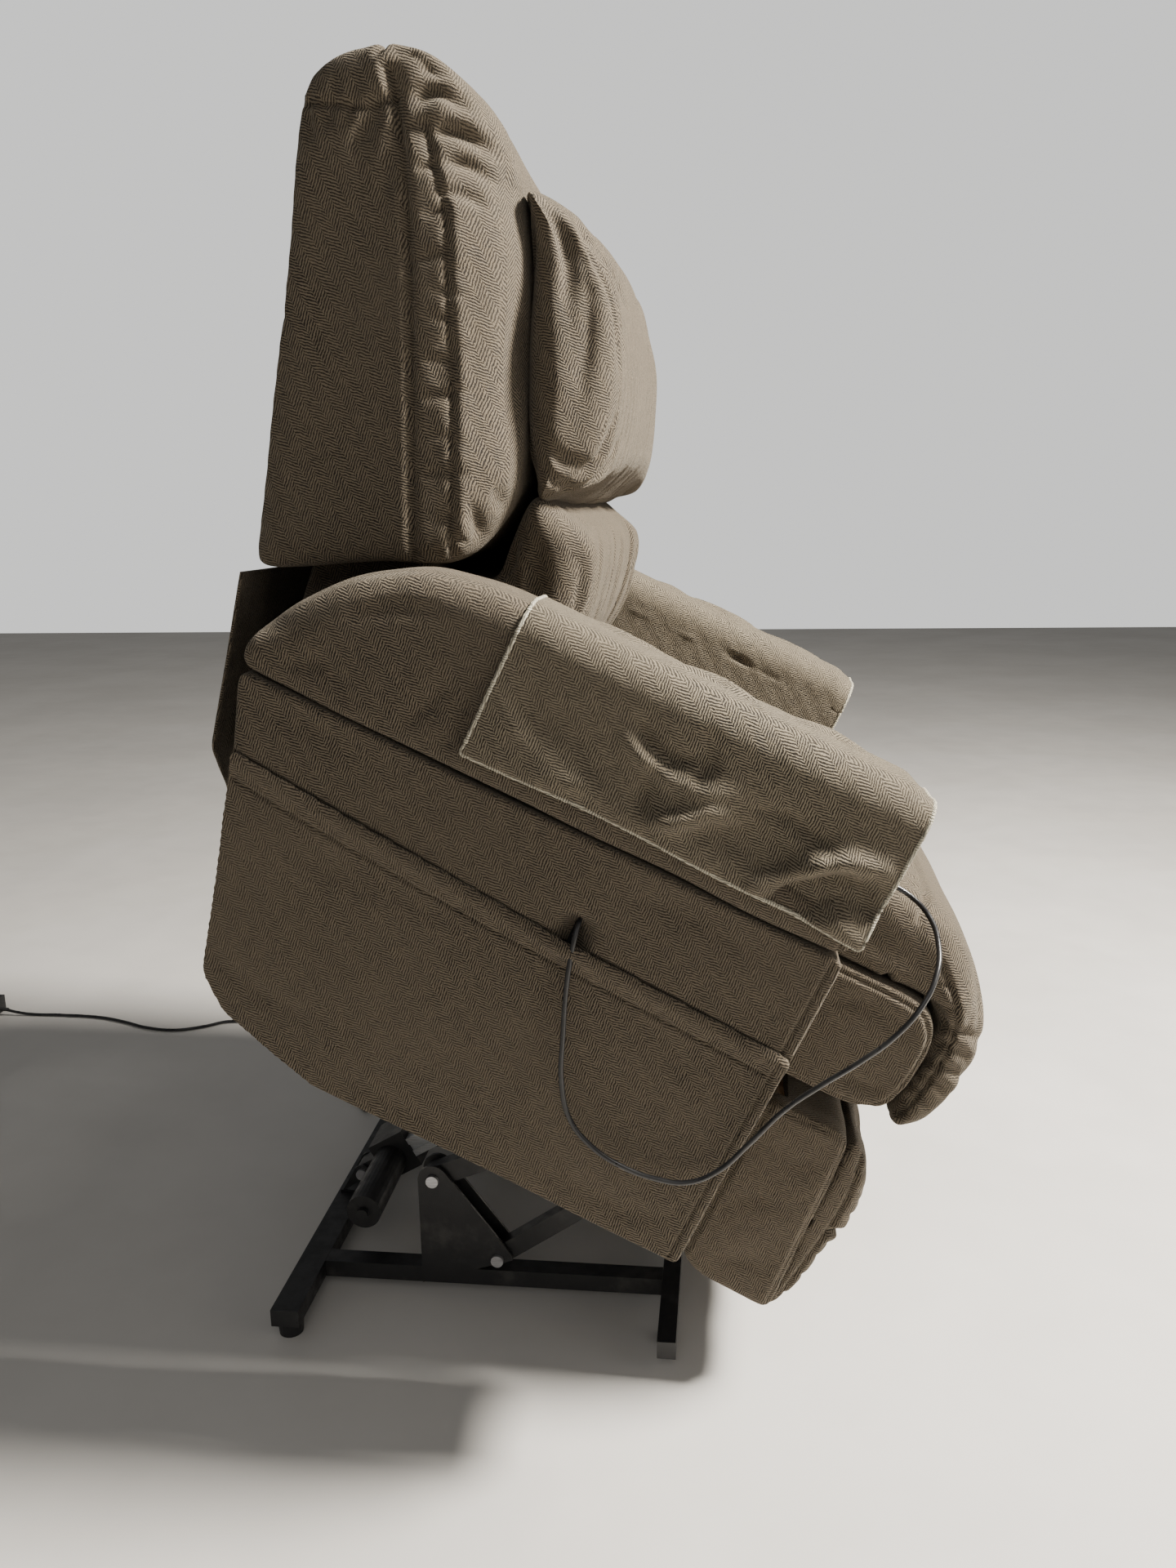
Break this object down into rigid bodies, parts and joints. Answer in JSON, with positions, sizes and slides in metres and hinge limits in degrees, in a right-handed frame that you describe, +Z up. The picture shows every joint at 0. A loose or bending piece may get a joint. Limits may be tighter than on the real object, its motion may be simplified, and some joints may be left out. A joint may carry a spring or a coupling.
{
  "type": "lift recliner chair",
  "caption": "Powered lift recliner with loose arm covers, scissor legrest and reclining back, raised and tipped forward for standing up.",
  "frame": {"origin": "on the floor, under the middle of the chair without its cords, in the raised pose", "axes": "+X forward out of the seat, +Y to the sitter's left, +Z up"},
  "size_m": [2.0986, 1.1648, 1.4509],
  "materials": {
    "black_steel": "satin powder coat",
    "bare_steel": "zinc plated",
    "aluminium": "extruded, satin",
    "black_plastic": "matte",
    "grey_plastic": "matte",
    "plywood": "bare",
    "chenille": "herringbone chenille",
    "cord_jacket": "satin"
  },
  "bodies": {
    "base": {"base_rear_tube": "black_steel", "base_front_tube": "black_steel", "base_rail_left": "black_steel", "tower_left": "black_steel", "upper_pivot_pin_left": "bare_steel", "lower_pivot_pin_left": "bare_steel", "rear_end_cap_left": "black_plastic", "front_end_cap_left": "black_plastic", "rear_glide_left": "black_plastic", "front_glide_left": "black_plastic", "base_rail_right": "black_steel", "tower_right": "black_steel", "upper_pivot_pin_right": "bare_steel", "lower_pivot_pin_right": "bare_steel", "rear_end_cap_right": "black_plastic", "front_end_cap_right": "black_plastic", "rear_glide_right": "black_plastic", "front_glide_right": "black_plastic", "actuator_clevis": "black_steel", "clevis_pin": "bare_steel", "power_lead_clip": "black_plastic", "power_lead": "cord_jacket", "power_supply": "black_plastic", "mains_lead": "cord_jacket", "mains_coil": "cord_jacket", "mains_plug": "black_plastic"},
    "front_links": {"front_lift_link_left": "black_steel", "front_lift_link_right": "black_steel", "lift_torque_tube": "black_steel"},
    "rear_links": {"rear_lift_link_left": "black_steel", "rear_lift_link_right": "black_steel"},
    "actuator": {"gearbox": "black_plastic", "motor": "black_steel", "drive_rail": "aluminium"},
    "carriage": {"drive_carriage": "black_plastic"},
    "chair_frame": {"seat_frame": "black_steel", "side_panel_left": "chenille", "side_panel_right": "chenille", "pocket_panel": "chenille", "arm_pad_left": "chenille", "arm_pad_right": "chenille", "arm_cover_left": "chenille", "arm_cover_right": "chenille", "seat_box": "chenille", "seat_cushion": "chenille", "handset": "black_plastic", "handset_cord": "cord_jacket", "handset_cord_grommet": "black_plastic"},
    "up_key": {"up_button": "grey_plastic"},
    "down_key": {"down_button": "grey_plastic"},
    "backrest": {"backrest": "chenille", "upper_pillow": "chenille", "lumbar_cushion": "chenille", "back_flap": "chenille"},
    "leg_rear_links": {"legrest_rear_link_left": "black_steel", "legrest_rear_link_right": "black_steel"},
    "leg_front_links": {"legrest_front_link_left": "black_steel", "legrest_front_link_right": "black_steel"},
    "legrest": {"legrest_board": "plywood", "legrest_pad": "chenille"}
  },
  "joints": [
    {"name": "lift", "type": "hinge", "parent": "base", "child": "front_links", "pos_m": [-0.156, 0, 0.062], "axis": [0, 1, 0], "range_deg": [0, 27.65]},
    {"name": "rear_link_swing", "type": "hinge", "parent": "base", "child": "rear_links", "pos_m": [-0.239, 0, 0.174], "axis": [0, 1, 0], "range_deg": [0, 25.92]},
    {"name": "chair_tilt", "type": "hinge", "parent": "front_links", "child": "chair_frame", "pos_m": [0.10929, 0, 0.24094], "axis": [0, 1, 0], "range_deg": [-53.7, 0]},
    {"name": "drive_swing", "type": "hinge", "parent": "base", "child": "actuator", "pos_m": [-0.392, 0, 0.075], "axis": [0, 1, 0], "range_deg": [0, 23.06]},
    {"name": "carriage_slide", "type": "slide", "parent": "actuator", "child": "carriage", "axis": [0.866, 0, 0.5], "range_m": [-0.0342, 0]},
    {"name": "recline", "type": "hinge", "parent": "chair_frame", "child": "backrest", "pos_m": [-0.36168, 0, 0.75172], "axis": [0, -1, 0], "range_deg": [0, 45]},
    {"name": "legrest_raise", "type": "hinge", "parent": "chair_frame", "child": "leg_rear_links", "pos_m": [0.13897, 0, 0.36846], "axis": [0, -1, 0], "range_deg": [0, 65]},
    {"name": "legrest_elbow", "type": "hinge", "parent": "leg_rear_links", "child": "leg_front_links", "pos_m": [0.10039, 0, 0.23388], "axis": [0, -1, 0], "range_deg": [-130.1, 0]},
    {"name": "legrest_turn", "type": "hinge", "parent": "leg_front_links", "child": "legrest", "pos_m": [0.18268, 0, 0.34714], "axis": [0, -1, 0], "range_deg": [0, 145.1]},
    {"name": "up_press", "type": "slide", "parent": "chair_frame", "child": "up_key", "axis": [0, -1, 0], "range_m": [0, 0.0015], "stiffness_N_per_m": 600},
    {"name": "down_press", "type": "slide", "parent": "chair_frame", "child": "down_key", "axis": [0, -1, 0], "range_m": [0, 0.0015], "stiffness_N_per_m": 600}
  ],
  "couplings": [
    {"joint": "rear_link_swing", "follows": "lift", "ratio": 0.93548},
    {"joint": "chair_tilt", "follows": "lift", "ratio": -1.9402},
    {"joint": "drive_swing", "follows": "lift", "ratio": 0.83198},
    {"joint": "carriage_slide", "follows": "lift", "m_per_rad": -0.070448},
    {"joint": "legrest_elbow", "follows": "legrest_raise", "ratio": -2},
    {"joint": "legrest_turn", "follows": "legrest_raise", "ratio": 2.2308}
  ]
}
